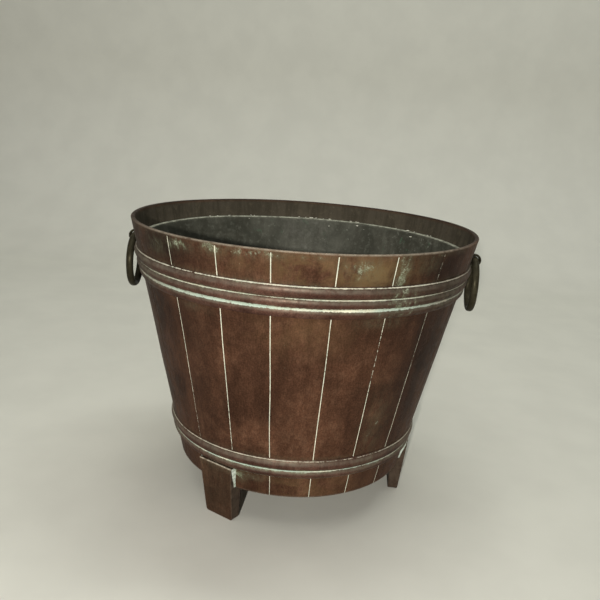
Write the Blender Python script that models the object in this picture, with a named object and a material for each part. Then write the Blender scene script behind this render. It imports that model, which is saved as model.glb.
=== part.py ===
"""Planter pot made like a coopered tub: a tapered sheet-metal wall engraved with
stave lines, two reeded hoops, three plate feet, two ring handles and a lift-out
liner.

Dimensions are in millimetres and turned into metres when a mesh is made.
+Z is up. The origin is on the floor, under the middle of the pot.
Bearings are in degrees, turning from the front (-Y) towards the right (+X).
"""
import math

import bmesh
import bpy
from mathutils import Matrix, Vector

MM = 0.001

# Overall body
RIM_RADIUS = 115.0
RIM_HEIGHT = 188.0
TAPER = 0.22
SLOPE = math.atan(TAPER)
WALL_BOTTOM = 25.2
WALL_THICK = 2.0
LIP_THICK = 2.6
LIP_DEPTH = 9.0
SEGMENTS = 80
GAP = 0.3

# Engraved stave lines
FRONT_STAVE_LINES = [-40.1, -22.5, -6.2, 11.7, 29.1, 46.8]
REST_STAVE_COUNT = 15
STAVE_SPLITS = 3
LINE_TOP = 185.5
LINE_DEPTH = 0.35
LINE_HALF_WIDTH = 0.35

# Hoops: the heights of their edges and grooves, from the bottom up
UPPER_HOOP_LINES = [150.4, 155.8, 161.8, 168.7]
UPPER_HOOP_BULGES = [0.9, 1.4, 1.5]
LOWER_HOOP_LINES = [40.9, 46.5, 53.6]
LOWER_HOOP_BULGES = [1.0, 1.1]
HOOP_GROOVE_RISE = 1.0
REED_STEPS = 4

# Bottom of the pot
BASE_TOP = 29.3
BASE_THICK = 1.5
BASE_FLANGE_BOTTOM = 25.8

# Feet
FOOT_BEARINGS = {"foot_front_left": -31.8, "foot_right": 88.2, "foot_back": 208.2}
FOOT_HALF_WIDTH_FLOOR = 11.1
FOOT_HALF_WIDTH_TOP = 13.2
FOOT_OUTER_FLOOR = 79.2
FOOT_OUTER_TOP = 84.2
FOOT_INNER = 72.4
FOOT_TOP = 40.4
FOOT_CORNER = 1.6
FILLET_REACH = 2.6
FILLET_BOTTOM = 25.5
FILLET_TOP = 40.1

# Ring handles
LUG_HEIGHT = 172.2
EYE_REACH = 5.4
EYE_DROP = 1.6
EYE_RADIUS = 4.3
EYE_HALF_LENGTH = 2.5
EYE_HOLE_RADIUS = 2.9
EYE_EDGE = 1.1
PAD_RADIUS = 2.8
SHANK_RADIUS = 1.6
SHANK_HEAD_RADIUS = 2.5
RING_HALF_WIDTH = 2.5
RING_HALF_DEPTH = 2.05
RING_RADIUS = 16.8

# Liner
LINER_GAP = 2.2
LINER_THICK = 0.9
LINER_BOTTOM = 29.6
LINER_TOP = 175.1
LINER_LIP_THICK = 0.8
LINER_LIP_GAP = 0.5
LINER_BASE_BOTTOM = 30.5
LINER_BASE_TOP = 31.5


def wall_radius(z):
    """Radius of the wall's outside at height z."""
    return RIM_RADIUS + TAPER * (z - RIM_HEIGHT)


def foot_radius(z):
    """Distance of a foot's outer face from the axis at height z."""
    return FOOT_OUTER_FLOOR + (FOOT_OUTER_TOP - FOOT_OUTER_FLOOR) * z / FOOT_TOP


def foot_half_width(z):
    """Half of a foot's width at height z: it narrows towards the floor."""
    return FOOT_HALF_WIDTH_FLOOR + (FOOT_HALF_WIDTH_TOP - FOOT_HALF_WIDTH_FLOOR) * z / FOOT_TOP


def bearing_to_angle(bearing):
    """Angle from +X towards +Y, in radians, of a bearing in degrees."""
    return math.radians(bearing - 90.0)


def even_angles(count):
    return [2.0 * math.pi * i / count for i in range(count)]


def make_material(name, colour, metallic, roughness):
    material = bpy.data.materials.new(name)
    material.use_nodes = True
    shader = material.node_tree.nodes["Principled BSDF"]
    shader.inputs["Base Color"].default_value = (*colour, 1.0)
    shader.inputs["Metallic"].default_value = metallic
    shader.inputs["Roughness"].default_value = roughness
    return material


def make_object(name, bm, look, smooth_angle=32.0):
    """Turn a bmesh in millimetres into a named object in metres."""
    bmesh.ops.scale(bm, vec=Vector((MM, MM, MM)), verts=bm.verts)
    mesh = bpy.data.meshes.new(name)
    bm.to_mesh(mesh)
    bm.free()
    mesh.shade_smooth()
    mesh.set_sharp_from_angle(angle=math.radians(smooth_angle))
    if look:
        mesh.materials.append(make_material(name, *look))
    obj = bpy.data.objects.new(name, mesh)
    bpy.context.scene.collection.objects.link(obj)
    return obj


def add_lathe(bm, profile, angles):
    """Sweep a closed (radius, height) loop about Z. The loop runs anticlockwise
    with the radius to the right, and a point on the axis makes one vertex."""
    rings = []
    for radius, z in profile:
        if radius < 1e-6:
            rings.append([bm.verts.new((0.0, 0.0, z))] * len(angles))
            continue
        ring = [bm.verts.new((radius * math.cos(a), radius * math.sin(a), z)) for a in angles]
        rings.append(ring)
    bridge_rings(bm, rings)


def bridge_rings(bm, rings):
    """Face a closed stack of equal rings, skipping edges that lie on the axis."""
    for low, high in zip(rings, rings[1:] + rings[:1]):
        for i in range(len(low)):
            j = (i + 1) % len(low)
            corners = []
            for vert in (low[i], low[j], high[j], high[i]):
                if vert not in corners:
                    corners.append(vert)
            if len(corners) > 2:
                bm.faces.new(corners)


def add_cutter(name, bm):
    """A hidden solid used only to cut or join other solids."""
    cutter = make_object(name, bm, None)
    cutter.hide_render = True
    cutter.display_type = "WIRE"
    return cutter


def combine(obj, other, operation):
    modifier = obj.modifiers.new(other.name, "BOOLEAN")
    modifier.operation = operation
    modifier.solver = "EXACT"
    modifier.object = other


def stave_bearings():
    """The six lines on the front, then the rest evenly round the back."""
    first = FRONT_STAVE_LINES[0]
    last = FRONT_STAVE_LINES[-1]
    step = (first + 360.0 - last) / REST_STAVE_COUNT
    return FRONT_STAVE_LINES + [last + step * i for i in range(1, REST_STAVE_COUNT)]


def wall_columns():
    """Angles of the wall's mesh columns, each with True at the bed of a line."""
    half = LINE_HALF_WIDTH / wall_radius((RIM_HEIGHT + WALL_BOTTOM) / 2.0)
    lines = [bearing_to_angle(b) for b in stave_bearings()]
    columns = []
    for line, following in zip(lines, lines[1:] + [lines[0] + 2.0 * math.pi]):
        columns += [(line - half, False), (line, True), (line + half, False)]
        span = following - line - 2.0 * half
        for i in range(1, STAVE_SPLITS + 1):
            columns.append((line + half + span * i / (STAVE_SPLITS + 1), False))
    return columns


def build_wall():
    """Wall that thickens towards its lip, with grooves for the stave lines."""
    lip_bottom = RIM_HEIGHT - LIP_DEPTH
    rows = [
        (wall_radius(WALL_BOTTOM), WALL_BOTTOM, True),
        (wall_radius(LINE_TOP - 0.6), LINE_TOP - 0.6, True),
        (wall_radius(LINE_TOP), LINE_TOP, False),
        (wall_radius(RIM_HEIGHT - 0.7), RIM_HEIGHT - 0.7, False),
        (wall_radius(RIM_HEIGHT) - 0.7, RIM_HEIGHT, False),
        (wall_radius(RIM_HEIGHT) - LIP_THICK + 0.7, RIM_HEIGHT, False),
        (wall_radius(RIM_HEIGHT - 0.7) - LIP_THICK, RIM_HEIGHT - 0.7, False),
        (wall_radius(lip_bottom) - WALL_THICK, lip_bottom, False),
        (wall_radius(WALL_BOTTOM) - WALL_THICK, WALL_BOTTOM, False),
    ]
    bm = bmesh.new()
    rings = []
    for radius, z, grooved in rows:
        ring = []
        for angle, bed in wall_columns():
            r = radius - LINE_DEPTH if grooved and bed else radius
            ring.append(bm.verts.new((r * math.cos(angle), r * math.sin(angle), z)))
        rings.append(ring)
    bridge_rings(bm, rings)
    wall = make_object("pot_wall", bm, ((0.17, 0.09, 0.055), 0.85, 0.45))
    for side in (1, -1):
        bm = bmesh.new()
        add_lathe(bm, shank_profile(GAP, 1.0), even_angles(16))
        cutter = add_cutter("cut_shank_right" if side > 0 else "cut_shank_left", bm)
        place_on_wall(cutter, side)
        combine(wall, cutter, "DIFFERENCE")


def shank_profile(grow, overrun):
    """Loop of a lug's shank, which is spread into a countersink inside the wall."""
    inside = -WALL_THICK * math.cos(SLOPE)
    return [
        (0.0, inside - overrun + 0.1),
        (SHANK_HEAD_RADIUS + grow, inside - overrun + 0.1),
        (SHANK_HEAD_RADIUS + grow, inside + 0.1),
        (SHANK_RADIUS + grow, inside + 0.9),
        (SHANK_RADIUS + grow, overrun),
        (0.0, overrun),
    ]


def place_on_wall(obj, side):
    """Stand an object's local +Z on the wall's outside, at the right or the left."""
    stand = Matrix.Rotation(math.radians(90.0) + SLOPE, 4, "Y")
    place = Matrix.Translation(Vector((wall_radius(LUG_HEIGHT), 0.0, LUG_HEIGHT)) * MM)
    turn = Matrix.Rotation(0.0 if side > 0 else math.pi, 4, "Z")
    obj.matrix_world = turn @ place @ stand


def eye_centre():
    """Radius and height of the hole in a lug's eye, which hangs below its shank."""
    radius = wall_radius(LUG_HEIGHT) + EYE_REACH * math.cos(SLOPE) - EYE_DROP * math.sin(SLOPE)
    return radius, LUG_HEIGHT - EYE_REACH * math.sin(SLOPE) - EYE_DROP * math.cos(SLOPE)


def add_cross_cylinder(bm, radius, half_length, edge, count):
    """Cylinder lying along Y where a lug's eye is, with chamfered ends."""
    profile = [
        (0.0, -half_length),
        (radius - edge, -half_length),
        (radius, -half_length + edge),
        (radius, half_length - edge),
        (radius - edge, half_length),
        (0.0, half_length),
    ]
    if edge == 0.0:
        profile = [profile[0], profile[1], profile[4], profile[5]]
    add_lathe(bm, profile, even_angles(count))
    turn = Matrix.Rotation(math.radians(-90.0), 4, "X")
    place = Matrix.Translation((EYE_DROP, 0.0, EYE_REACH))
    bmesh.ops.transform(bm, matrix=place @ turn, verts=bm.verts)


def build_lug(name, side):
    """Cast eye with its pad, neck and the shank that goes through the wall."""
    profile = [
        (0.0, -WALL_THICK * math.cos(SLOPE) + 0.25),
        (SHANK_HEAD_RADIUS - 0.1, -WALL_THICK * math.cos(SLOPE) + 0.25),
        (SHANK_RADIUS, -WALL_THICK * math.cos(SLOPE) + 1.0),
        (SHANK_RADIUS, GAP),
        (PAD_RADIUS, GAP),
        (PAD_RADIUS, GAP + 0.8),
        (PAD_RADIUS - 0.8, GAP + 1.8),
        (PAD_RADIUS - 0.8, EYE_REACH - EYE_HOLE_RADIUS - 0.3),
        (0.0, EYE_REACH - EYE_HOLE_RADIUS - 0.3),
    ]
    bm = bmesh.new()
    add_lathe(bm, profile, even_angles(16))
    lug = make_object(name, bm, ((0.09, 0.075, 0.045), 0.8, 0.5))
    bm = bmesh.new()
    add_cross_cylinder(bm, EYE_RADIUS, EYE_HALF_LENGTH, EYE_EDGE, 24)
    eye = add_cutter("cut_eye_" + name, bm)
    bm = bmesh.new()
    add_cross_cylinder(bm, EYE_HOLE_RADIUS, EYE_HALF_LENGTH + 1.0, 0.0, 24)
    hole = add_cutter("cut_hole_" + name, bm)
    for obj in (lug, eye, hole):
        place_on_wall(obj, side)
    combine(lug, eye, "UNION")
    combine(lug, hole, "DIFFERENCE")


def build_ring(name, side):
    """Ring of oval wire hanging in its lug, with the origin on the hinge axis."""
    major_count = 36
    minor_count = 12
    bm = bmesh.new()
    rings = []
    for i in range(major_count):
        turn = 2.0 * math.pi * i / major_count
        section = []
        for j in range(minor_count):
            around = 2.0 * math.pi * j / minor_count
            reach = RING_RADIUS + RING_HALF_DEPTH * math.cos(around)
            x = RING_HALF_WIDTH * math.sin(around)
            y = reach * math.cos(turn)
            z = reach * math.sin(turn) - RING_RADIUS
            section.append(bm.verts.new((x, y, z)))
        rings.append(section)
    bridge_rings(bm, rings)
    bmesh.ops.recalc_face_normals(bm, faces=bm.faces)
    ring = make_object(name, bm, ((0.085, 0.075, 0.045), 0.8, 0.45), 60.0)
    radius, height = eye_centre()
    ring.location = Vector((side * radius, 0.0, height)) * MM


def reed_profile(lines, bulges):
    """Loop of a hoop: one rounded reed between each pair of lines."""
    outer = []
    for low, high, bulge in zip(lines, lines[1:], bulges):
        for i in range(REED_STEPS):
            part = i / REED_STEPS
            z = low + (high - low) * part
            rise = HOOP_GROOVE_RISE + bulge * math.sin(math.pi * part)
            outer.append((wall_radius(z) + rise, z))
    outer.append((wall_radius(lines[-1]) + HOOP_GROOVE_RISE, lines[-1]))
    inner = [(wall_radius(z) + GAP, z) for z in (lines[-1], lines[0])]
    return outer + inner


def build_hoop(name, lines, bulges, colour):
    bm = bmesh.new()
    add_lathe(bm, reed_profile(lines, bulges), even_angles(SEGMENTS))
    make_object(name, bm, (colour, 0.85, 0.42), 40.0)


def build_base():
    """Dished disc soldered inside the bottom of the wall."""
    edge_top = wall_radius(BASE_TOP) - WALL_THICK - GAP
    edge_bottom = wall_radius(BASE_FLANGE_BOTTOM) - WALL_THICK - GAP
    underside = BASE_TOP - BASE_THICK
    profile = [
        (0.0, underside),
        (edge_bottom - BASE_THICK, underside),
        (edge_bottom - BASE_THICK, BASE_FLANGE_BOTTOM),
        (edge_bottom, BASE_FLANGE_BOTTOM),
        (edge_top, BASE_TOP),
        (0.0, BASE_TOP),
    ]
    bm = bmesh.new()
    add_lathe(bm, profile, even_angles(SEGMENTS))
    make_object("base_disc", bm, ((0.13, 0.085, 0.05), 0.8, 0.55))


def build_foot(name, bearing):
    """Plate leg: a thin tongue outside the wall and a shelf under its edge."""
    shelf = WALL_BOTTOM - GAP
    outline = [
        (foot_radius(0.0), 0.0),
        (foot_radius(FOOT_TOP), FOOT_TOP),
        (wall_radius(FOOT_TOP) + GAP, FOOT_TOP),
        (wall_radius(shelf) + GAP, shelf),
        (FOOT_INNER, shelf),
        (FOOT_INNER, 0.0),
    ]
    bm = bmesh.new()
    near = [bm.verts.new((r, -foot_half_width(z), z)) for r, z in outline]
    far = [bm.verts.new((r, foot_half_width(z), z)) for r, z in outline]
    bm.faces.new(near)
    bm.faces.new(list(reversed(far)))
    for i in range(len(outline)):
        j = (i + 1) % len(outline)
        bm.faces.new((near[i], far[i], far[j], near[j]))
    bmesh.ops.recalc_face_normals(bm, faces=bm.faces)
    corners = []
    for edge in bm.edges:
        a, b = (v.co for v in edge.verts)
        if a.z < 0.01 and b.z < 0.01 and abs(a.y - b.y) < 0.01:
            corners.append(edge)
    bmesh.ops.bevel(bm, geom=corners, offset=FOOT_CORNER, segments=3, affect="EDGES", profile=0.5)
    foot = make_object(name, bm, ((0.14, 0.07, 0.045), 0.8, 0.48))
    foot.rotation_euler = (0.0, 0.0, bearing_to_angle(bearing))


def fillet_section(bm, z, side):
    """Three corners of a solder fillet between a foot's edge and the wall."""
    surface = wall_radius(z) + GAP
    inner = foot_half_width(z) + GAP
    outer = inner + FILLET_REACH
    corners = [
        (foot_radius(z) - 0.5, inner),
        (math.sqrt(surface ** 2 - inner ** 2), inner),
        (math.sqrt(surface ** 2 - outer ** 2), outer),
    ]
    return [bm.verts.new((r, side * t, z)) for r, t in corners]


def build_solder(foot_name, bearing):
    """The two solder fillets that hold a foot's tongue to the wall."""
    for word, side in (("near", -1), ("far", 1)):
        bm = bmesh.new()
        low = fillet_section(bm, FILLET_BOTTOM, side)
        high = fillet_section(bm, FILLET_TOP, side)
        bm.faces.new(low)
        bm.faces.new(high)
        for i in range(3):
            j = (i + 1) % 3
            bm.faces.new((low[i], low[j], high[j], high[i]))
        bmesh.ops.recalc_face_normals(bm, faces=bm.faces)
        name = foot_name.replace("foot", "solder") + "_" + word
        fillet = make_object(name, bm, ((0.42, 0.5, 0.43), 0.3, 0.7))
        fillet.rotation_euler = (0.0, 0.0, bearing_to_angle(bearing))


def liner_radius(z):
    """Radius of the liner's outside at height z."""
    return wall_radius(z) - WALL_THICK - LINER_GAP


def build_liner():
    """Tapered liner with a turned-out lip, and its own bottom."""
    lip_under = LINER_TOP - LINER_LIP_THICK
    lip_edge = wall_radius(lip_under) - WALL_THICK - LINER_LIP_GAP
    profile = [
        (liner_radius(LINER_BOTTOM), LINER_BOTTOM),
        (liner_radius(lip_under - 1.0), lip_under - 1.0),
        (liner_radius(lip_under) + 0.5, lip_under),
        (lip_edge, lip_under),
        (lip_edge + 0.1, LINER_TOP - 0.3),
        (lip_edge - 0.2, LINER_TOP),
        (liner_radius(LINER_TOP) - LINER_THICK + 0.7, LINER_TOP),
        (liner_radius(LINER_TOP - 1.0) - LINER_THICK, LINER_TOP - 1.0),
        (liner_radius(LINER_BOTTOM) - LINER_THICK, LINER_BOTTOM),
    ]
    bm = bmesh.new()
    add_lathe(bm, profile, even_angles(SEGMENTS))
    make_object("liner_wall", bm, ((0.2, 0.215, 0.18), 0.6, 0.6))
    edge = liner_radius(LINER_BASE_BOTTOM) - LINER_THICK - GAP
    profile = [
        (0.0, LINER_BASE_BOTTOM),
        (edge, LINER_BASE_BOTTOM),
        (edge + 0.2, LINER_BASE_TOP),
        (0.0, LINER_BASE_TOP),
    ]
    bm = bmesh.new()
    add_lathe(bm, profile, even_angles(SEGMENTS))
    make_object("liner_base", bm, ((0.2, 0.21, 0.18), 0.6, 0.65))


def main():
    for obj in list(bpy.data.objects):
        bpy.data.objects.remove(obj)
    build_wall()
    build_base()
    build_hoop("upper_hoop", UPPER_HOOP_LINES, UPPER_HOOP_BULGES, (0.21, 0.11, 0.08))
    build_hoop("lower_hoop", LOWER_HOOP_LINES, LOWER_HOOP_BULGES, (0.2, 0.11, 0.08))
    for name, bearing in FOOT_BEARINGS.items():
        build_foot(name, bearing)
        build_solder(name, bearing)
    for word, side in (("right", 1), ("left", -1)):
        build_lug("lug_" + word, side)
        build_ring("ring_" + word, side)
    build_liner()


main()
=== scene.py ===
"""Looks for the coopered-style planter pot: detailed meshes and patina materials
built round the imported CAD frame. Lengths are in millimetres until a mesh is made."""

import math

import bmesh
import bpy
import numpy as np
from mathutils import Matrix, Vector


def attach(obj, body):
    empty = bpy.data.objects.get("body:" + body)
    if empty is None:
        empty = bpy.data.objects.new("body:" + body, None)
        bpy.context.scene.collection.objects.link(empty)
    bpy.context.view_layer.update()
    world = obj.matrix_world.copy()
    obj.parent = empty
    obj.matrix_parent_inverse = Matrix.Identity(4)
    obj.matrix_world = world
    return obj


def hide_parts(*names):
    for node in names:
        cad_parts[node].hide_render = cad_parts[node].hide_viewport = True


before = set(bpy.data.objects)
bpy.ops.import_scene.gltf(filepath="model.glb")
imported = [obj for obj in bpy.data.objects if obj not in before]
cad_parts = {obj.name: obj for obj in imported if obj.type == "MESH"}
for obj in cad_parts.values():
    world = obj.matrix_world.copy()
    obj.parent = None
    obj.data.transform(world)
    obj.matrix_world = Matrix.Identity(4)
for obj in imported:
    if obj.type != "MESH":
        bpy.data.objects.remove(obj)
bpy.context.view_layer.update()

MM = 0.001

# Sizes shared with the CAD part
RIM_RADIUS = 115.0
RIM_HEIGHT = 188.0
TAPER = 0.22
SLOPE = math.atan(TAPER)
WALL_BOTTOM = 25.2
WALL_THICK = 2.0
LIP_THICK = 2.6
LIP_DEPTH = 9.0
FRONT_STAVE_LINES = [-40.1, -22.5, -6.2, 11.7, 29.1, 46.8]
REST_STAVE_COUNT = 15
LINE_TOP = 186.8
UPPER_HOOP_LINES = [150.4, 155.8, 161.8, 168.7]
UPPER_HOOP_BULGES = [0.9, 1.4, 1.5]
LOWER_HOOP_LINES = [40.9, 46.5, 53.6]
LOWER_HOOP_BULGES = [1.0, 1.1]
HOOP_GROOVE_RISE = 1.0
BASE_TOP = 29.3
BASE_THICK = 1.5
BASE_FLANGE_BOTTOM = 25.8
FOOT_BEARINGS = {"front_left": -31.8, "right": 88.2, "back": 208.2}
FOOT_HALF_WIDTH_FLOOR = 11.1
FOOT_HALF_WIDTH_TOP = 13.2
FOOT_OUTER_FLOOR = 79.2
FOOT_OUTER_TOP = 84.2
FOOT_INNER = 72.4
FOOT_TOP = 40.4
FILLET_BOTTOM = 25.5
FILLET_TOP = 40.1
LUG_HEIGHT = 172.2
EYE_REACH = 5.4
EYE_DROP = 1.6
EYE_RADIUS = 4.3
EYE_HALF_LENGTH = 2.5
EYE_HOLE_RADIUS = 2.9
PAD_RADIUS = 2.8
SHANK_RADIUS = 1.6
RING_HALF_WIDTH = 2.5
RING_HALF_DEPTH = 2.05
RING_RADIUS = 16.8
LINER_GAP = 2.2
LINER_THICK = 0.9
LINER_BOTTOM = 29.6
LINER_TOP = 175.1
LINER_LIP_THICK = 0.8
LINER_LIP_GAP = 0.5
LINER_BASE_BOTTOM = 30.5
LINER_BASE_TOP = 31.5

# Keeps the smooth round wall inside the CAD wall's flats
ROUND_INSET = 0.12
RIM_REACH = 114.74
RIM_ROUND = 0.65


def wall_radius(z):
    return RIM_RADIUS + TAPER * (z - RIM_HEIGHT)


def foot_radius(z):
    return FOOT_OUTER_FLOOR + (FOOT_OUTER_TOP - FOOT_OUTER_FLOOR) * z / FOOT_TOP


def foot_half_width(z):
    return FOOT_HALF_WIDTH_FLOOR + (FOOT_HALF_WIDTH_TOP - FOOT_HALF_WIDTH_FLOOR) * z / FOOT_TOP


def bearing_to_angle(bearing):
    return math.radians(bearing - 90.0)


def smooth_step(low, high, value):
    t = np.clip((value - low) / (high - low), 0.0, 1.0)
    return t * t * (3.0 - 2.0 * t)


def wave_noise(points, size, seed, waves=14):
    """Smooth seeded noise of about -1 to 1 with features of the given size in mm."""
    rng = np.random.default_rng(seed)
    directions = rng.normal(size=(waves, 3))
    directions /= np.linalg.norm(directions, axis=1)[:, None]
    speeds = 2.0 * math.pi / (size * rng.uniform(1.4, 3.2, waves))
    phases = rng.uniform(0.0, 2.0 * math.pi, waves)
    total = np.zeros(points.shape[:-1])
    for direction, speed, phase in zip(directions, speeds, phases):
        total += np.cos(points @ direction * speed + phase)
    return total / math.sqrt(waves)


# ---------------------------------------------------------------- mesh making


def link_object(name, data):
    obj = bpy.data.objects.new(name, data)
    bpy.context.scene.collection.objects.link(obj)
    return obj


def add_piece(name, mesh, material, sharp_from, body, node=None):
    """Visible piece that rides a body. Its edges are sharp from the given angle up."""
    mesh.materials.append(material)
    mesh.shade_smooth()
    mesh.set_sharp_from_angle(angle=math.radians(sharp_from))
    obj = link_object(name, mesh)
    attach(obj, body)
    if node:
        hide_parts(node)


# What the patina material reads at each vertex, each from 0 to 1: residue, how green
# and how dull that residue is (on the hoops partly painted shade), verdigris, gold and
# painted bounce light, wear and painted highlight, dust of the inside, and soot and painted shade
PATINA_FIELDS = ("line", "green", "dull", "verd", "gold", "edge", "inside", "dark")


def set_attribute(mesh, name, values):
    attribute = mesh.attributes.new(name, "FLOAT", "POINT")
    attribute.data.foreach_set("value", np.asarray(values, np.float32).ravel())


def set_patina(mesh, shape, **fields):
    """Set every field of the patina material. Those not given are zero."""
    for name in PATINA_FIELDS:
        set_attribute(mesh, name, np.broadcast_to(fields.get(name, 0.0), shape))


def grid_mesh(name, points, close_rows=True):
    """Mesh of a (rows, columns, 3) array of points in mm. The columns always close
    into rings. Rows close too, or else the first and last row are capped."""
    rows, columns = points.shape[:2]
    index = np.arange(rows * columns).reshape(rows, columns)
    lower, upper = index, np.roll(index, -1, axis=0)
    if not close_rows:
        lower, upper = index[:-1], index[1:]
    right_low = np.roll(lower, -1, axis=1)
    right_up = np.roll(upper, -1, axis=1)
    quads = np.stack([lower, right_low, right_up, upper], axis=-1).reshape(-1, 4)
    faces = quads.tolist()
    if not close_rows:
        faces.append(index[0][::-1].tolist())
        faces.append(index[-1].tolist())
    mesh = bpy.data.meshes.new(name)
    mesh.from_pydata((points.reshape(-1, 3) * MM).tolist(), [], faces)
    mesh.update()
    return mesh


def ring_points(profile, angles):
    """Points of a lathe: profile is (rows, 2) of radius and height, and angles is
    (columns,) or (rows, columns)."""
    radius, height = np.asarray(profile, float).T[:, :, None]
    x, y = radius * np.cos(angles), radius * np.sin(angles)
    return np.stack(np.broadcast_arrays(x, y, height), axis=-1)


def push_out(points, amount):
    """Move points away from the Z axis by an amount in mm."""
    radius = np.hypot(points[..., 0], points[..., 1])
    scale = (radius + amount) / np.maximum(radius, 1e-6)
    moved = points.copy()
    moved[..., 0] *= scale
    moved[..., 1] *= scale
    return moved


def arc(centre_r, centre_z, radius, start, end, count):
    """Points of an arc in the (radius, height) plane, angles in degrees."""
    points = []
    for i in range(count + 1):
        a = math.radians(start + (end - start) * i / count)
        points.append((centre_r + radius * math.cos(a), centre_z + radius * math.sin(a)))
    return points


def even_angles(count):
    return np.arange(count) * 2.0 * math.pi / count


# ------------------------------------------------------------------ materials


def srgb(*levels):
    """Linear colour of 0 to 255 screen levels."""
    out = []
    for level in levels:
        c = level / 255.0
        out.append(c / 12.92 if c <= 0.04045 else ((c + 0.055) / 1.055) ** 2.4)
    return tuple(out)


# Near black of soot, also used as painted shade on the pot's sides and the right foot
SOOT_AND_SHADE_TONE = srgb(30, 22, 19)
PIT_TONE = srgb(38, 29, 22)
FLECK_TONE = srgb(158, 150, 126)
DUST_TONES = [srgb(62, 57, 47), srgb(75, 69, 58), srgb(92, 84, 68), srgb(118, 112, 96)]
VERDIGRIS_HAZE = srgb(110, 112, 90)
VERDIGRIS_CRUST = [srgb(128, 138, 112), srgb(184, 194, 170)]
RESIDUE_TONES = [srgb(232, 226, 204), srgb(205, 206, 186)]
RESIDUE_GREEN = srgb(176, 192, 178)
RESIDUE_DULL = srgb(124, 104, 88)
# Residue tone under soot and painted shade
RESIDUE_IN_SOOT_AND_SHADE = srgb(112, 98, 84)
PATINA_GLINT = 0.12
PATINA_SHEEN = (0.3, 0.25, 0.2)


class Look:
    """A node material with short calls for the nodes it is made of."""

    def __init__(self, name):
        self.material = bpy.data.materials.new(name)
        self.material.use_nodes = True
        self.tree = self.material.node_tree
        self.shader = self.tree.nodes["Principled BSDF"]
        self.coords = self.tree.nodes.new("ShaderNodeTexCoord").outputs["Object"]

    def node(self, kind, **settings):
        made = self.tree.nodes.new(kind)
        for key, value in settings.items():
            setattr(made, key, value)
        return made

    def feed(self, socket, value):
        if isinstance(value, bpy.types.NodeSocket):
            self.tree.links.new(value, socket)
        elif isinstance(value, tuple) and len(value) == 3 and socket.type == "RGBA":
            socket.default_value = (*value, 1.0)
        else:
            socket.default_value = value

    def stretched(self, scale):
        """Object coordinates with each axis scaled."""
        made = self.node("ShaderNodeMapping")
        self.feed(made.inputs["Vector"], self.coords)
        made.inputs["Scale"].default_value = scale
        return made.outputs["Vector"]

    def noise(self, size, detail=4.0, rough=0.55, bend=0.0, vector=None):
        """Noise with features of about the given size in mm."""
        made = self.node("ShaderNodeTexNoise")
        self.feed(made.inputs["Vector"], vector or self.coords)
        made.inputs["Scale"].default_value = 1000.0 / size
        made.inputs["Detail"].default_value = detail
        made.inputs["Roughness"].default_value = rough
        made.inputs["Distortion"].default_value = bend
        return made.outputs["Fac"]

    def cells(self, size, vector=None):
        """Distance to the nearest of scattered points about the given size apart."""
        made = self.node("ShaderNodeTexVoronoi")
        self.feed(made.inputs["Vector"], vector or self.coords)
        made.inputs["Scale"].default_value = 1000.0 / size
        return made.outputs["Distance"]

    def math(self, operation, a, b=0.0, clamp=False):
        made = self.node("ShaderNodeMath", operation=operation, use_clamp=clamp)
        self.feed(made.inputs[0], a)
        self.feed(made.inputs[1], b)
        return made.outputs[0]

    def span(self, value, low, high, to_low=0.0, to_high=1.0):
        """Smooth step of a value from one range to another."""
        made = self.node("ShaderNodeMapRange", interpolation_type="SMOOTHSTEP")
        self.feed(made.inputs["Value"], value)
        made.inputs["From Min"].default_value = low
        made.inputs["From Max"].default_value = high
        made.inputs["To Min"].default_value = to_low
        made.inputs["To Max"].default_value = to_high
        return made.outputs["Result"]

    def mix(self, factor, a, b, blend="MIX"):
        made = self.node("ShaderNodeMix", data_type="RGBA", blend_type=blend)
        self.feed(made.inputs[0], factor)
        self.feed(made.inputs[6], a)
        self.feed(made.inputs[7], b)
        return made.outputs[2]

    def mix_value(self, factor, a, b):
        made = self.node("ShaderNodeMix", data_type="FLOAT")
        self.feed(made.inputs[0], factor)
        self.feed(made.inputs[2], a)
        self.feed(made.inputs[3], b)
        return made.outputs[0]

    def times(self, a, b):
        return self.math("MULTIPLY", a, b)

    def lay(self, colour, over, where, most=1.0):
        """One colour laid over another, up to a given strength."""
        return self.mix(self.times(where, most), colour, over)

    def tone(self, colour, value):
        """Colour made darker or lighter by a value."""
        grey = self.node("ShaderNodeCombineColor")
        for socket in grey.inputs[:3]:
            self.feed(socket, value)
        return self.mix(1.0, colour, grey.outputs[0], "MULTIPLY")

    def attribute(self, name):
        return self.node("ShaderNodeAttribute", attribute_name=name).outputs["Fac"]

    def bump(self, height, distance, strength=1.0, normal=None):
        made = self.node("ShaderNodeBump")
        self.feed(made.inputs["Height"], height)
        made.inputs["Distance"].default_value = distance * MM
        made.inputs["Strength"].default_value = strength
        if normal:
            self.feed(made.inputs["Normal"], normal)
        return made.outputs["Normal"]

    def finish(self, colour, rough, metal, normal, glint=0.3, sheen=(1.0, 1.0, 1.0)):
        self.feed(self.shader.inputs["Base Color"], colour)
        self.feed(self.shader.inputs["Roughness"], rough)
        self.feed(self.shader.inputs["Metallic"], metal)
        self.feed(self.shader.inputs["Normal"], normal)
        self.feed(self.shader.inputs["Specular IOR Level"], glint)
        self.feed(self.shader.inputs["Specular Tint"], sheen)
        return self.material


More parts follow.
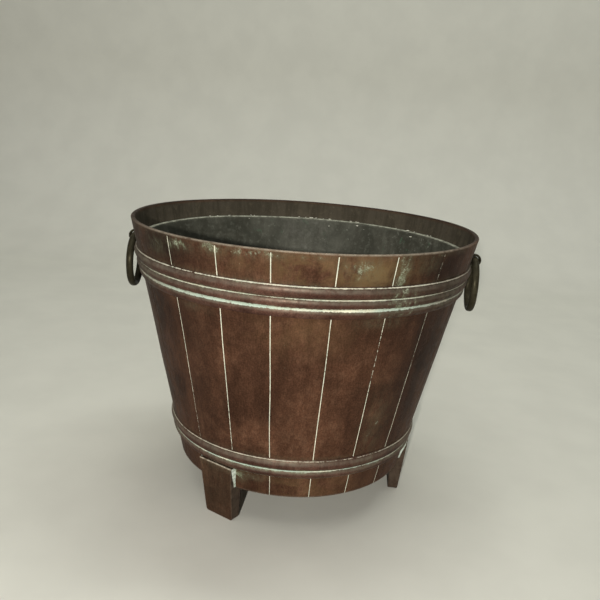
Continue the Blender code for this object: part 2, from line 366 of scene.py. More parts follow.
def brown_patina(look, tones, fine, grain, tint):
    """Cloudy brown with streaks down it, a fine mottle and, on request, golden areas that also hold
    painted bounce light.
    """
    dark, mid, light = tones
    broad = look.noise(46.0, 5.0, 0.6, 0.5)
    streak = look.noise(9.0, 4.0, 0.6, 0.2, look.stretched((1.0, 1.0, 0.09)))
    hair = look.noise(0.7, 3.0, 0.6, 0.0, look.stretched((1.0, 1.0, 0.06)))
    colour = look.mix(look.span(broad, 0.38, 0.6), dark, mid)
    blotch = look.times(look.span(fine, 0.46, 0.62), look.span(broad, 0.3, 0.7))
    colour = look.lay(colour, light, blotch, 0.6)
    colour = look.tone(colour, look.span(streak, 0.34, 0.66, 0.76, 1.14))
    colour = look.tone(colour, look.span(grain, 0.34, 0.68, 0.78, 1.2))
    colour = look.tone(colour, look.span(hair, 0.36, 0.64, 0.88, 1.12))
    if tint:
        cloud = look.noise(14.0, 6.0, 0.65, 0.6)
        patch = look.times(look.attribute("gold"), look.span(cloud, 0.34, 0.6))
        colour = look.lay(colour, tint, patch, 0.85)
    return colour


def pits_and_flecks(look, colour):
    pit_here = look.span(look.noise(17.0, 3.0), 0.5, 0.64)
    pit = look.times(look.span(look.cells(3.6), 0.16, 0.05), pit_here)
    colour = look.lay(colour, PIT_TONE, pit, 0.55)
    fleck_here = look.span(look.noise(30.0, 3.0, 0.6, 0.5), 0.48, 0.62)
    fleck = look.times(look.span(look.noise(1.5, 3.0, 0.7, 0.4), 0.68, 0.76), fleck_here)
    return look.lay(colour, FLECK_TONE, fleck, 0.55)


def inside_dust(look, fine):
    runs = look.noise(6.0, 5.0, 0.65, 0.2, look.stretched((1.0, 1.0, 0.12)))
    dust = look.mix(look.span(runs, 0.36, 0.64), DUST_TONES[0], DUST_TONES[1])
    dust = look.mix(look.span(fine, 0.5, 0.7, 0.0, 0.45), dust, DUST_TONES[2])
    specks = look.span(look.noise(1.1, 4.0, 0.7), 0.6, 0.72, 0.0, 0.5)
    return look.mix(specks, dust, DUST_TONES[3])


def verdigris(look, colour):
    """A thin haze with a lacy crust where it is thickest. Gives the colour and the crust."""
    verd = look.attribute("verd")
    drip = look.noise(4.4, 6.0, 0.68, 0.3, look.stretched((1.0, 1.0, 0.3)))
    cloud = look.times(look.math("ADD", look.noise(3.2, 9.0, 0.74, 0.6), drip), 0.5)
    haze = look.times(look.times(verd, 0.62), look.span(cloud, 0.38, 0.6))
    colour = look.mix(haze, colour, VERDIGRIS_HAZE)
    reach = look.math("ADD", look.times(verd, 0.23), cloud)
    lace = look.span(look.noise(0.8, 3.0, 0.7), 0.4, 0.62, 0.1, 1.0)
    crust = look.times(look.span(reach, 0.64, 0.74), look.span(verd, 0.02, 0.2))
    crust = look.times(crust, lace)
    green = look.mix(look.span(look.noise(2.6, 5.0), 0.35, 0.65), *VERDIGRIS_CRUST)
    return look.lay(colour, green, crust, 0.7), crust


def residue(look, colour, soot_and_shade):
    """Pale paste in engraved lines and hoop grooves. Gives the colour and its cover."""
    uneven = look.math("SUBTRACT", look.noise(1.8, 5.0, 0.7, 0.3), 0.5)
    filled = look.span(look.math("ADD", look.attribute("line"), look.times(uneven, 1.1)), 0.4, 0.62)
    filled = look.times(filled, look.span(look.noise(4.0, 5.0, 0.7), 0.3, 0.48, 0.55, 1.0))
    paste = look.mix(look.span(look.noise(11.0, 4.0, 0.6), 0.4, 0.62), *RESIDUE_TONES)
    greenish = look.times(look.attribute("green"), look.span(look.noise(16.0, 4.0), 0.3, 0.56))
    paste = look.mix(greenish, paste, RESIDUE_GREEN)
    paste = look.lay(paste, RESIDUE_DULL, look.attribute("dull"), 0.6)
    # Paste is darker under soot and painted shade
    paste = look.lay(paste, RESIDUE_IN_SOOT_AND_SHADE, soot_and_shade, 0.35)
    return look.mix(filled, colour, paste), filled


def patina_look(name, tones, pale_wear_and_highlight, gloss=0.46, metal=0.38, tint=None):
    """Brown patina on metal. The mesh's patina fields place all that lies on it."""
    look = Look(name)
    fine = look.noise(5.5, 6.0, 0.62, 0.3)
    grain = look.noise(0.9, 4.0, 0.6)
    colour = brown_patina(look, tones, fine, grain, tint)
    # Soot, and painted shade on the pot's sides and the right foot, darken the patina
    soot_and_shade_cloud = look.span(look.noise(20.0, 6.0, 0.65, 0.4), 0.3, 0.6, 0.82, 1.0)
    soot_and_shade = look.times(look.attribute("dark"), soot_and_shade_cloud)
    colour = look.mix(soot_and_shade, colour, SOOT_AND_SHADE_TONE)
    colour = pits_and_flecks(look, colour)
    # Pale wear on rubbed edges, also the painted highlight on the hoop reeds and the front of the lip
    wear_and_highlight_breakup = look.span(look.noise(4.0, 5.0, 0.65), 0.3, 0.62, 0.35)
    colour = look.mix(look.times(look.attribute("edge"), wear_and_highlight_breakup), colour, pale_wear_and_highlight)
    inside = look.attribute("inside")
    colour = look.mix(inside, colour, inside_dust(look, fine))
    colour, crust = verdigris(look, colour)
    colour, filled = residue(look, colour, soot_and_shade)
    covered = look.math("MAXIMUM", filled, crust)
    matt = look.math("MAXIMUM", covered, inside)
    height = look.times(covered, look.math("ADD", grain, 0.3))
    height = look.math("ADD", look.times(grain, 0.35), height)
    rough = look.mix_value(matt, look.span(fine, 0.3, 0.7, gloss - 0.06, gloss + 0.12), 0.88)
    metallic = look.mix_value(matt, look.span(fine, 0.3, 0.75, metal, metal - 0.15), 0.0)
    normal = look.bump(look.span(fine, 0.2, 0.8), 0.12, 0.35)
    normal = look.bump(height, 0.09, 0.6, normal)
    return look.finish(colour, rough, metallic, normal, PATINA_GLINT, PATINA_SHEEN)


def liner_look():
    """Dull grey zinc, streaked, with green spots and lime where the stains are."""
    look = Look("liner_zinc")
    broad = look.noise(26.0, 6.0, 0.65, 0.8)
    fine = look.noise(3.2, 6.0, 0.65, 0.3)
    streak = look.noise(7.0, 5.0, 0.65, 0.2, look.stretched((1.0, 1.0, 0.12)))
    stain = look.attribute("verd")
    colour = look.mix(look.span(broad, 0.35, 0.65), srgb(62, 62, 52), srgb(82, 81, 70))
    colour = look.mix(look.span(streak, 0.42, 0.66, 0.0, 0.6), colour, srgb(58, 56, 46))
    colour = look.mix(look.span(fine, 0.5, 0.72, 0.0, 0.5), colour, srgb(108, 109, 97))
    green = look.times(look.span(look.noise(8.0, 6.0, 0.7, 0.6), 0.6, 0.7), stain)
    colour = look.lay(colour, srgb(84, 120, 92), green, 0.7)
    lime = look.times(look.span(look.noise(4.5, 7.0, 0.75, 0.4), 0.58, 0.7), stain)
    colour = look.lay(colour, srgb(176, 178, 162), lime, 0.6)
    broken = look.span(look.noise(5.0, 6.0, 0.7), 0.34, 0.6, 0.25, 1.0)
    line = look.times(look.attribute("line"), broken)
    colour = look.mix(line, colour, srgb(166, 166, 148))
    rough = look.span(fine, 0.3, 0.7, 0.55, 0.8)
    metal = look.span(broad, 0.3, 0.7, 0.35, 0.15)
    height = look.math("ADD", look.times(fine, 0.8), look.math("ADD", line, lime))
    return look.finish(colour, rough, metal, look.bump(height, 0.15, 0.5))


def solder_look():
    look = Look("solder")
    cloud = look.noise(2.4, 7.0, 0.7, 0.4)
    colour = look.mix(look.span(cloud, 0.35, 0.62), srgb(150, 160, 144), srgb(204, 212, 200))
    dirt = look.noise(3.0, 5.0, 0.65)
    colour = look.mix(look.span(dirt, 0.54, 0.72, 0.0, 0.7), colour, srgb(92, 76, 60))
    return look.finish(colour, look.span(cloud, 0.3, 0.7, 0.6, 0.9), 0.1, look.bump(cloud, 0.15, 0.4))


def crumb_look():
    look = Look("crumbs")
    cloud = look.noise(1.2, 5.0, 0.7)
    colour = look.mix(look.span(cloud, 0.3, 0.7), srgb(176, 172, 152), srgb(222, 219, 204))
    return look.finish(colour, look.span(cloud, 0.3, 0.7, 0.8, 0.95), 0.0, look.bump(cloud, 0.3, 0.7))


def stage_look(name, tone):
    look = Look(name)
    soft = look.noise(60.0, 3.0)
    darker = tuple(0.95 * c for c in tone)
    colour = look.mix(look.span(soft, 0.3, 0.7), darker, tone)
    return look.finish(colour, look.span(soft, 0.3, 0.7, 0.75, 0.85), 0.0, look.bump(soft, 0.3, 0.2))


# ------------------------------------------------------------- the pot's wall


def stave_bearings():
    first = FRONT_STAVE_LINES[0]
    last = FRONT_STAVE_LINES[-1]
    step = (first + 360.0 - last) / REST_STAVE_COUNT
    return FRONT_STAVE_LINES + [last + step * i for i in range(1, REST_STAVE_COUNT)]


# Distance from a stave line in mm, depth of the cut, and how much residue lies there
LINE_SHAPE = [
    (-3.2, 0.0, 0.0),
    (-1.2, 0.02, 0.0),
    (-0.5, 0.05, 0.0),
    (-0.31, 0.07, 0.12),
    (-0.17, 0.24, 1.0),
    (0.0, 0.27, 1.0),
    (0.17, 0.24, 1.0),
    (0.31, 0.07, 0.12),
    (0.5, 0.05, 0.0),
    (1.2, 0.02, 0.0),
    (3.2, 0.0, 0.0),
]
# How far each front line drifts from plumb between the rim and the floor, in degrees
FRONT_LINE_DRIFT = [-0.9, -0.2, 0.5, 0.5, 1.2, 1.7]
LINE_WANDER = 0.12
REST_LINE_LEAN = 0.35
FILL_COLUMNS = 15
MEAN_RADIUS = 98.0
RIM_DIP = 0.1


def wall_columns():
    """Angle, cut depth, residue, line number and closeness to the line per column."""
    lines = [bearing_to_angle(b) for b in stave_bearings()]
    reach = LINE_SHAPE[-1][0] / MEAN_RADIUS
    columns = []
    for number, (line, following) in enumerate(zip(lines, lines[1:] + [lines[0] + 2.0 * math.pi])):
        for offset, depth, amount in LINE_SHAPE:
            near = 1.0 - abs(offset) / LINE_SHAPE[-1][0]
            columns.append((line + offset / MEAN_RADIUS, depth, amount, number, near))
        span = following - line - 2.0 * reach
        for i in range(1, FILL_COLUMNS + 1):
            columns.append((line + reach + span * i / (FILL_COLUMNS + 1), 0.0, 0.0, number, 0.0))
    return np.array(columns)


# Patches round the wall: bearing, height, half width, half height, strength
VERDIGRIS = [
    (-36.0, 183.2, 9.0, 3.6, 0.95),
    (-46.0, 180.0, 12.0, 6.0, 0.55),
    (-23.0, 184.5, 9.0, 3.2, 0.85),
    (-12.0, 185.2, 16.0, 2.6, 1.0),
    (5.0, 185.2, 10.0, 1.6, 0.55),
    (19.0, 180.0, 12.0, 7.0, 0.7),
    (-20.5, 36.5, 6.0, 5.0, 1.0),
    (-12.0, 37.5, 12.0, 2.6, 0.5),
    (31.0, 176.0, 5.0, 14.0, 0.9),
    (40.0, 181.0, 9.0, 6.0, 0.4),
    (28.0, 147.5, 14.0, 4.0, 0.45),
    (-32.0, 148.0, 12.0, 3.0, 0.35),
    (36.0, 75.0, 12.0, 26.0, 0.3),
    (-32.0, 37.0, 18.0, 4.0, 0.4),
    (120.0, 182.0, 30.0, 6.0, 0.7),
    (205.0, 181.0, 26.0, 7.0, 0.8),
    (262.0, 182.0, 20.0, 6.0, 0.7),
    (160.0, 146.0, 30.0, 5.0, 0.45),
    (250.0, 146.0, 22.0, 5.0, 0.5),
    (90.0, 33.0, 20.0, 7.0, 0.5),
    (210.0, 33.0, 20.0, 7.0, 0.5),
]
# Height, reach and strength of the haze above each hoop and under the lip
CORNER_HAZE = [(169.6, 1.3, 0.45), (54.6, 1.1, 0.3), (186.0, 1.2, 0.3)]
# Golden patches of patina, and at height 33 a wide pale band of painted bounce light from the floor
GOLD_AND_BOUNCE_LIGHT = [
    (4.0, 178.0, 24.0, 8.0, 0.75),
    (22.0, 177.0, 24.0, 9.0, 1.0),
    (-16.0, 180.0, 16.0, 6.0, 0.4),
    (5.0, 140.0, 30.0, 14.0, 0.2),
    (4.0, 33.0, 66.0, 11.0, 0.28),
    (140.0, 178.0, 40.0, 9.0, 0.8),
    (230.0, 178.0, 36.0, 9.0, 0.7),
]
# Darkened patches of the wall and hoops. Those on the sides seen from the front are painted shade,
# the rest soot
SOOT_AND_SIDE_SHADE = [
    (-44.0, 178.0, 36.0, 14.0, 0.9),
    (-14.0, 176.0, 40.0, 12.0, 0.25),
    (-58.0, 150.0, 34.0, 120.0, 0.6),
    (-36.0, 130.0, 20.0, 90.0, 0.42),
    (47.0, 178.0, 20.0, 14.0, 0.8),
    (50.0, 130.0, 26.0, 120.0, 0.66),
    (-95.0, 150.0, 46.0, 120.0, 0.6),
    (90.0, 150.0, 46.0, 120.0, 0.4),
    (-42.0, 60.0, 14.0, 60.0, 0.3),
    (108.0, 110.0, 24.0, 90.0, 0.5),
    (175.0, 90.0, 30.0, 70.0, 0.4),
    (252.0, 110.0, 30.0, 90.0, 0.5),
]
WORN_LINES = [
    (47.0, 178.0, 9.0, 12.0, 0.9),
    (-62.0, 110.0, 26.0, 90.0, 0.8),
    (70.0, 110.0, 26.0, 90.0, 0.8),
    (150.0, 120.0, 20.0, 40.0, 0.7),
    (215.0, 160.0, 14.0, 40.0, 0.7),
]
HOOP_HAZE = [
    (33.0, 160.0, 16.0, 16.0, 0.7),
    (52.0, 158.0, 16.0, 10.0, 0.5),
    (-55.0, 160.0, 14.0, 10.0, 0.4),
    (205.0, 160.0, 26.0, 16.0, 0.7),
    (34.0, 47.0, 14.0, 8.0, 0.4),
    (-30.0, 47.0, 14.0, 8.0, 0.35),
]
# Residue in each hoop line from the bottom up: half width in mm, greenness, dullness
UPPER_RESIDUE = [(0.0, 0.0, 0.0), (0.9, 0.9, 0.0), (0.36, 0.5, 0.2), (0.3, 0.2, 0.15)]
LOWER_RESIDUE = [(0.12, 0.3, 0.3), (0.42, 1.0, 0.1), (0.22, 0.1, 0.75)]


def spots(points, places, body_radius):
    """Sum of soft patches round the wall, at the points' bearings and heights."""
    bearing = np.degrees(np.arctan2(points[..., 1], points[..., 0])) + 90.0
    total = np.zeros(points.shape[:-1])
    for where, height, half_width, half_height, strength in places:
        off = (bearing - where + 180.0) % 360.0 - 180.0
        across = np.radians(off) * body_radius / half_width
        along = (points[..., 2] - height) / half_height
        total = np.maximum(total, strength * np.exp(-(across ** 2 + along ** 2)))
    return total


def wall_profile():
    """Closed loop: up the outside, over the lip, down the inside."""
    inset = ROUND_INSET
    outer = [(wall_radius(WALL_BOTTOM) - inset - 0.35, WALL_BOTTOM)]
    heights = np.concatenate(
        [
            [WALL_BOTTOM + 0.35],
            np.linspace(WALL_BOTTOM + 1.5, 181.0, 66),
            [182.5, 183.8, 184.8, 185.2, 185.6, 186.2, 186.7],
        ]
    )
    outer += [(wall_radius(z) - inset, z) for z in heights]
    outer += arc(RIM_REACH - RIM_ROUND, RIM_HEIGHT - RIM_ROUND, RIM_ROUND, 0.0, 90.0, 6)
    inside = RIM_REACH - LIP_THICK
    crest = [(RIM_REACH - 1.0, RIM_HEIGHT - 0.01), (RIM_REACH - 1.5, RIM_HEIGHT - 0.05)]
    inner = arc(inside + 0.6, RIM_HEIGHT - 0.72, 0.6, 80.0, 180.0, 5)
    bend = RIM_HEIGHT - LIP_DEPTH
    for z in (185.5, 183.5, 181.5, 180.0, bend):
        thick = WALL_THICK + (LIP_THICK - WALL_THICK) * (z - bend) / LIP_DEPTH
        inner.append((wall_radius(z) - inset - thick, z))
    for z in np.concatenate([np.linspace(177.5, 168.0, 7), np.linspace(160.0, WALL_BOTTOM, 18)]):
        inner.append((wall_radius(z) - WALL_THICK - inset, z))
    return np.array(outer + crest + inner), len(outer)


def line_shifts(heights, number, near):
    """How far each line wanders and leans sideways at each height, in mm per column."""
    shifts = np.zeros((len(heights), len(number)))
    zero = np.zeros(len(heights))
    for line in range(int(number.max()) + 1):
        along = np.stack([zero, zero + 40.0 * line, heights], axis=-1)
        shift = LINE_WANDER * wave_noise(along, 26.0, 50 + line)
        if line < len(FRONT_LINE_DRIFT):
            part = 0.5 - (heights - WALL_BOTTOM) / (RIM_HEIGHT - WALL_BOTTOM)
            lean = math.radians(FRONT_LINE_DRIFT[line]) * MEAN_RADIUS * part
        else:
            lean = REST_LINE_LEAN * wave_noise(along, 180.0, 90 + line)
        chosen = number == line
        reach = smooth_step(0.0, 0.5, near[chosen])
        shifts[:, chosen] = (shift + lean)[:, None] * reach[None, :]
    return shifts


def side_angle(points):
    """Degrees round the pot from the front, either way."""
    return np.abs(np.degrees(np.arctan2(points[..., 0], -points[..., 1])))


def build_wall(material):
    profile, outer_count = wall_profile()
    angles, depth, amount, number, near = wall_columns().T
    heights = profile[:, 1]
    z = heights[:, None]
    row = np.arange(len(profile))
    on_outside = (row < outer_count)[:, None]
    shifts = line_shifts(heights, number, near)
    points = ring_points(profile, angles[None, :] + shifts / MEAN_RADIUS)
    cut = np.where(on_outside & (z < LINE_TOP), smooth_step(LINE_TOP, LINE_TOP - 0.8, z), 0.0)
    dents = 0.1 * wave_noise(points, 34.0, 3) + 0.05 * wave_noise(points, 12.0, 4)
    calm = 1.0 - smooth_step(172.0, 185.0, z)
    points = push_out(points, np.minimum(dents * calm, 0.1) - 0.04 * calm - depth[None, :] * cut)
    dip = RIM_DIP * (1.0 + np.clip(wave_noise(points, 60.0, 5), -1.0, 1.0))
    points[..., 2] -= dip * smooth_step(150.0, RIM_HEIGHT, z)
    mesh = grid_mesh("wall", points)

    strength = 0.86 + 0.22 * wave_noise(points, 45.0, 8) - 0.5 * spots(points, WORN_LINES, 105.0)
    line = amount[None, :] * cut * np.clip(strength, 0.45, 1.0)
    verd = spots(points, VERDIGRIS, 110.0)
    for height, reach, most in CORNER_HAZE:
        verd = np.maximum(verd, most * np.exp(-(((z - height) / reach) ** 2)))
    front = smooth_step(75.0, 40.0, side_angle(points))
    # The lip top is paler from wear, and a painted highlight makes it palest at the front
    lip = smooth_step(RIM_HEIGHT - 0.85, RIM_HEIGHT - 0.45, z) * (0.12 + 0.88 * front)
    crest = np.abs(row - outer_count - 2.5)[:, None] < 4.0
    lip = np.where(crest, 0.6 * lip, lip)
    foot_edge = smooth_step(WALL_BOTTOM + 0.9, WALL_BOTTOM, z) * 0.5
    # Grime on the rim top, with painted shade that deepens round the sides and back
    rim_grime_and_shade = np.where(crest, 0.8 - 0.35 * front, 0.0)
    set_patina(
        mesh,
        points.shape[:2],
        line=np.clip(line, 0.0, 1.0),
        green=0.25,
        verd=np.where(on_outside, verd, 0.0),
        gold=np.where(on_outside, spots(points, GOLD_AND_BOUNCE_LIGHT, 110.0), 0.0),
        inside=np.where(on_outside, 0.0, smooth_step(RIM_HEIGHT - 0.3, RIM_HEIGHT - 1.2, z)),
        # Outside: soot, and painted shade on the sides seen from the front
        dark=np.where(on_outside, spots(points, SOOT_AND_SIDE_SHADE, 105.0), rim_grime_and_shade),
        edge=np.clip(np.maximum(lip, foot_edge), 0.0, 1.0),
    )
    add_piece("wall", mesh, material, 40.0, "pot", "pot_wall")


# ------------------------------------------------------------------ the hoops

REED_ROWS = 16
HOOP_COLUMNS = 640
GROOVE_SINK = 0.15


def hoop_rows(lines, bulges):
    """Radius, height and the painted highlight on the upper part of each reed, for each row of a
    hoop. The last two rows are its back."""
    rows = []
    for low, high, bulge in zip(lines, lines[1:], bulges):
        for i in range(REED_ROWS):
            part = 0.5 - 0.5 * math.cos(math.pi * i / REED_ROWS)
            height = low + (high - low) * part
            swell = math.sin(math.pi * part) ** 0.75
            rise = HOOP_GROOVE_RISE - GROOVE_SINK + (bulge + GROOVE_SINK) * swell - ROUND_INSET
            # Painted highlight along the upper part of each reed
            crest = smooth_step(0.45, 0.72, part) * smooth_step(1.0, 0.86, part)
            rows.append((wall_radius(height) + rise, height, float(crest)))
    top = lines[-1]
    rise = HOOP_GROOVE_RISE - ROUND_INSET
    for extra, out in ((0.0, rise - 0.15), (0.25, rise - 0.35), (0.5, rise - 0.6), (0.8, 0.05)):
        rows.append((wall_radius(top + extra) + out, top + extra, 0.0))
    for height in (top + 0.7, lines[0]):
        rows.append((wall_radius(height) - ROUND_INSET - 0.5, height, 0.0))
    return np.array(rows)


def build_hoop(word, lines, bulges, residues, material, seed):
    """Reeded hoop, with residue in each groove and in the corner above the top edge, and a painted
    highlight along the upper part of each reed.
    """
    rows = hoop_rows(lines, bulges)
    points = ring_points(rows[:, :2], even_angles(HOOP_COLUMNS))
    wave = 0.1 * wave_noise(points, 30.0, seed) + 0.04 * wave_noise(points, 9.0, seed + 1)
    outer = (np.arange(len(rows)) < len(rows) - 2)[:, None]
    points = push_out(points, np.where(outer, np.clip(wave, -0.2, 0.12), 0.0))
    flat_z = points[..., 2].copy()
    points[..., 2] += 0.08 * wave_noise(points, 70.0, seed + 2)
    mesh = grid_mesh("hoop_" + word, points)
    shape = points.shape[:2]
    line, green, halo = np.zeros(shape), np.zeros(shape), np.zeros(shape)
    side = side_angle(points)
    # Painted shade dulls the hoop residue towards the pot's sides
    dull = 0.75 * smooth_step(32.0, 58.0, side) * smooth_step(160.0, 130.0, side)
    for number, (height, (half_width, greenness, dullness)) in enumerate(zip(lines, residues)):
        if half_width <= 0.0:
            continue
        density = 0.92 + 0.2 * wave_noise(points, 34.0, seed + 3 + number)
        off = np.abs(flat_z - height - (0.12 if number == len(lines) - 1 else 0.0))
        here = np.clip(1.0 - 0.5 * off / half_width, 0.0, 1.0) * np.clip(density, 0.7, 1.0)
        line = np.maximum(line, np.where(outer, here, 0.0))
        green = np.maximum(green, greenness * (off < 2.0))
        dull = np.maximum(dull, dullness * (off < 2.0))
        haze = (0.35 + 0.5 * greenness) * smooth_step(2.0, 0.5, off)
        halo = np.maximum(halo, haze * np.clip(density, 0.4, 1.0))
    # The painted reed highlight, a little uneven round the hoop
    shine = 0.5 + 0.14 * wave_noise(points, 22.0, seed + 21)
    set_patina(
        mesh,
        shape,
        line=line,
        green=green,
        dull=dull,
        verd=np.where(outer, np.maximum(halo, spots(points, HOOP_HAZE, 108.0)), 0.0),
        dark=np.where(outer, spots(points, SOOT_AND_SIDE_SHADE, 105.0), 0.0),
        edge=rows[:, 2][:, None] * np.clip(shine, 0.2, 0.8),
    )
    add_piece("hoop_" + word, mesh, material, 60.0, "pot", word + "_hoop")


# ----------------------------------------------------------- base, feet, solder


def build_disc(name, profile, body, node, material, columns=160):
    """Lathed disc: the profile is open and its two ends are capped near the axis."""
    points = ring_points(np.array(profile), even_angles(columns))
    mesh = grid_mesh(name, points, close_rows=False)
    set_patina(mesh, points.shape[:2], verd=0.3)
    add_piece(name, mesh, material, 50.0, body, node)


def build_base(material):
    edge_top = wall_radius(BASE_TOP) - WALL_THICK - 0.3
    edge_low = wall_radius(BASE_FLANGE_BOTTOM) - WALL_THICK - 0.3
    under = BASE_TOP - BASE_THICK
    profile = [(4.0, under), (30.0, under), (60.0, under), (edge_low - BASE_THICK - 1.0, under)]
    profile += arc(edge_low - BASE_THICK - 0.6, under - 0.6, 0.6, 90.0, 0.0, 4)
    profile += arc(edge_low - BASE_THICK + 0.4, BASE_FLANGE_BOTTOM + 0.4, 0.4, 180.0, 270.0, 3)
    profile += arc(edge_low - 0.4, BASE_FLANGE_BOTTOM + 0.4, 0.4, -90.0, 0.0, 3)
    profile += arc(edge_top - 0.7, BASE_TOP - 0.7, 0.7, 0.0, 90.0, 4)
    profile += [(60.0, BASE_TOP), (30.0, BASE_TOP), (4.0, BASE_TOP)]
    build_disc("base", profile, "pot", "base_disc", material)


# How far each foot's bottom leans away from the axis in mm, and how dark each foot is: painted shade
# on the right foot, soot on the back foot
FOOT_LEANS = {"front_left": -1.1, "right": 1.1, "back": 0.3}
FOOT_SOOT_AND_SHADE = {"front_left": 0.0, "right": 0.75, "back": 0.3}
FOOT_CORNER = 1.7
FOOT_EDGE = 0.4
FOOT_GRAIN = 1.3


def settle_order(elements, places):
    """Sort the elements of a bmesh by place, so that each build numbers them alike."""
    rank = np.empty(len(places))
    rank[np.lexsort(np.round(np.array(places).T, 4))] = np.arange(len(places))
    elements.index_update()
    elements.sort(key=lambda element: rank[element.index])


def foot_block(word):
    """Foot in its own frame, standing out along X, as a finely divided bmesh."""
    shelf = WALL_BOTTOM - 0.3
    lean = FOOT_LEANS[word]
    outline = [
        (foot_radius(0.0) + lean, 0.0),
        (foot_radius(FOOT_TOP), FOOT_TOP),
        (wall_radius(FOOT_TOP) - 0.25, FOOT_TOP),
        (wall_radius(shelf) - 0.25, shelf),
        (FOOT_INNER + 0.4 * lean, shelf),
        (FOOT_INNER + lean, 0.0),
    ]
    bm = bmesh.new()
    near = [bm.verts.new((r, -foot_half_width(z), z)) for r, z in outline]
    far = [bm.verts.new((r, foot_half_width(z), z)) for r, z in outline]
    bm.faces.new(near)
    bm.faces.new(list(reversed(far)))
    for i in range(len(outline)):
        j = (i + 1) % len(outline)
        bm.faces.new((near[i], far[i], far[j], near[j]))
    bmesh.ops.recalc_face_normals(bm, faces=bm.faces)
    corners = [
        e for e in bm.edges
        if all(v.co.z < 0.01 for v in e.verts) and abs(e.verts[0].co.y - e.verts[1].co.y) < 0.01
    ]
    bmesh.ops.bevel(bm, geom=corners, offset=FOOT_CORNER, segments=4, affect="EDGES", profile=0.5)
    sharp = [e for e in bm.edges if e.calc_face_angle(0.0) > math.radians(50.0)]
    bmesh.ops.bevel(bm, geom=sharp, offset=FOOT_EDGE, segments=3, affect="EDGES", profile=0.5)
    bmesh.ops.triangulate(bm, faces=[f for f in bm.faces if len(f.verts) > 4])
    for _ in range(5):
        long_edges = [e for e in bm.edges if e.calc_length() > FOOT_GRAIN]
        bmesh.ops.subdivide_edges(bm, edges=long_edges, cuts=1, use_grid_fill=True)
        bmesh.ops.triangulate(bm, faces=[f for f in bm.faces if len(f.verts) > 4])
    settle_order(bm.verts, [v.co for v in bm.verts])
    settle_order(bm.faces, [f.calc_center_median() for f in bm.faces])
    bm.normal_update()
    return bm


def build_foot(word, bearing, material, seed):
    """Cast plate foot with softened edges and rounded bottom corners."""
    bm = foot_block(word)
    co = np.array([v.co for v in bm.verts])
    normal = np.array([v.normal for v in bm.verts])
    shift = 0.06 * wave_noise(co, 9.0, seed) - 0.06
    shift = np.where(co[:, 2] < 0.3, 0.0, shift)
    co = co + normal * shift[:, None]
    for vert, where in zip(bm.verts, co):
        vert.co = where
    mesh = bpy.data.meshes.new("foot_" + word)
    bm.to_mesh(mesh)
    bm.free()
    z = co[:, 2]
    side_gap = foot_half_width(z) - np.abs(co[:, 1])
    rubbed = 0.35 * np.maximum(smooth_step(0.7, 0.15, side_gap), smooth_step(0.9, 0.2, z))
    outer_gap = foot_radius(z) - co[:, 0]
    top_line = smooth_step(FOOT_TOP - 0.75, FOOT_TOP - 0.35, z) * smooth_step(0.75, 0.3, outer_gap)
    set_patina(
        mesh,
        z.shape,
        edge=np.maximum(rubbed, 0.9 * top_line),
        line=0.62 * top_line,
        dull=1.0,
        # Darker towards the side faces, and by each foot's painted shade and soot
        dark=np.maximum(0.9 * smooth_step(0.5, 0.1, side_gap), FOOT_SOOT_AND_SHADE[word]),
        verd=0.3 * smooth_step(34.0, 40.0, z) + 0.08,
    )
    turn = Matrix.Rotation(bearing_to_angle(bearing), 4, "Z")
    mesh.transform(Matrix.Scale(MM, 4) @ turn)
    add_piece("foot_piece_" + word, mesh, material, 35.0, "pot", "foot_" + word)


FILLET_ROWS = 44
FILLET_COLUMNS = 11


def build_fillets(word, bearing, material, seed):
    """Smooth wedges of solder between the edges of a foot's tongue and the wall."""
    for number, (end, side) in enumerate((("near", -1), ("far", 1))):
        z = np.linspace(FILLET_BOTTOM + 0.05, FILLET_TOP - 0.05, FILLET_ROWS)[:, None]
        surface = wall_radius(z) - ROUND_INSET - 0.1
        inner = foot_half_width(z) - 0.15
        fall = smooth_step(FILLET_BOTTOM - 1.0, FILLET_TOP, z)
        reach = 0.4 + 1.1 * fall + 0.05 * np.sin(z * 0.8 + seed + number)
        t = np.linspace(0.0, 1.0, FILLET_COLUMNS)[None, :]
        tangent = inner + reach * t
        back = np.sqrt(surface ** 2 - tangent ** 2)
        high = (foot_radius(z) - 0.45 - np.sqrt(surface ** 2 - inner ** 2)) * (0.35 + 0.65 * fall)
        front = back + high * (1.0 - t) ** 1.8 + 0.03
        level = np.broadcast_to(z, front.shape)
        top = np.stack([front, side * tangent, level], axis=-1)
        under = np.stack([back - 0.5, side * tangent, level], axis=-1)
        loop = np.concatenate([top, under[:, ::-1]], axis=1)
        if side > 0:
            loop = loop[:, ::-1]
        loop[..., 0] += 0.04 * wave_noise(loop, 5.0, seed + 7 * number)
        node = f"solder_{word}_{end}"
        mesh = grid_mesh(node, loop[:, ::-1], close_rows=False)
        mesh.transform(Matrix.Rotation(bearing_to_angle(bearing), 4, "Z"))
        bm = bmesh.new()
        bm.from_mesh(mesh)
        bmesh.ops.recalc_face_normals(bm, faces=bm.faces)
        bm.to_mesh(mesh)
        bm.free()
        add_piece(f"fillet_{word}_{end}", mesh, material, 60.0, "pot", node)


# ---------------------------------------------------------- lugs and the rings


def join_lathe(bm, profile, count):
    """Add a capped lathe about Z to a bmesh."""
    rings = []
    for row in ring_points(profile, even_angles(count)):
        rings.append([bm.verts.new(point) for point in row])
    for low, high in zip(rings, rings[1:]):
        for i in range(count):
            j = (i + 1) % count
            bm.faces.new((low[i], low[j], high[j], high[i]))
    bm.faces.new(list(reversed(rings[0])))
    bm.faces.new(rings[-1])


# The dirt in an eye leaves less play round the ring than the clean hole does
WORN_HOLE_RADIUS = 2.66
RING_TOP_DEPTH = 2.42


EYE_COLUMNS = 48
EYE_SECTION = 20
CAST_GRAIN = 0.2


